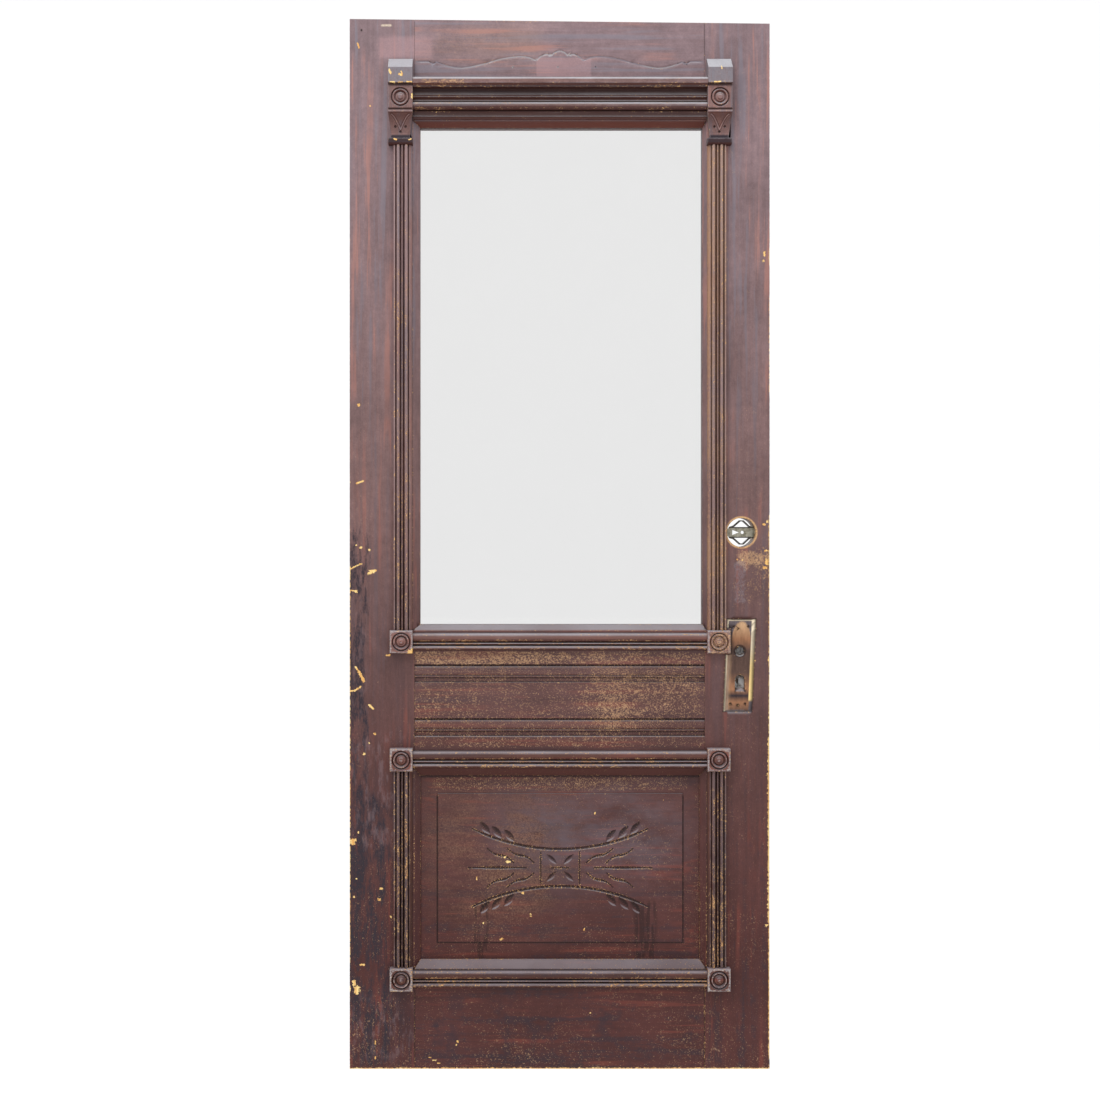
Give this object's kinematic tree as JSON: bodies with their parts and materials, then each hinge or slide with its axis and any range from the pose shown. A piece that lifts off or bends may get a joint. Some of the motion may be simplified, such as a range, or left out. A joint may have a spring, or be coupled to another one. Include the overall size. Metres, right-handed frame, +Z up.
{
  "type": "cottage door",
  "caption": "Aged panelled entrance door with a clear glass light, reeded trim, carved head consoles, rosette corner blocks and an incised lower panel.",
  "frame": {"origin": "centre of the middle hinge seat, in the door's hinge edge", "axes": "+Z up, the front looks along -Y, +X runs from the hinge edge to the lock edge"},
  "size_m": [0.813, 0.0745, 2.033],
  "materials": {
    "varnished_wood": "aged dark red-brown varnish, dulled and greyed high up, chipped to raw wood at the edges",
    "worn_moulding": "aged varnish, worn through to tan wood along the arrises",
    "clear_glass": "clear, smooth",
    "zinc_plate": "dull zinc plate with dark stains",
    "lock_steel": "dull grey steel"
  },
  "bodies": {
    "root": {"hinge_stile": "varnished_wood", "lock_stile": "varnished_wood", "top_rail": "varnished_wood", "lock_rail": "varnished_wood", "bottom_rail": "varnished_wood", "carved_panel": "varnished_wood", "back_stop_top": "varnished_wood", "back_stop_bottom": "varnished_wood", "back_stop_hinge_side": "varnished_wood", "back_stop_lock_side": "varnished_wood", "head_moulding": "worn_moulding", "console_hinge_side": "worn_moulding", "console_lock_side": "worn_moulding", "glass_reed_hinge_side": "worn_moulding", "glass_reed_lock_side": "worn_moulding", "sill_reed": "worn_moulding", "panel_reed_top": "worn_moulding", "panel_reed_bottom": "worn_moulding", "panel_reed_hinge_side": "worn_moulding", "panel_reed_lock_side": "worn_moulding", "sill_block_hinge_side": "worn_moulding", "sill_block_lock_side": "worn_moulding", "panel_block_top_hinge_side": "worn_moulding", "panel_block_top_lock_side": "worn_moulding", "panel_block_bottom_hinge_side": "worn_moulding", "panel_block_bottom_lock_side": "worn_moulding", "glass_pane": "clear_glass", "deadbolt_latch": "zinc_plate", "mortise_lock_case": "lock_steel"}
  },
  "joints": []
}
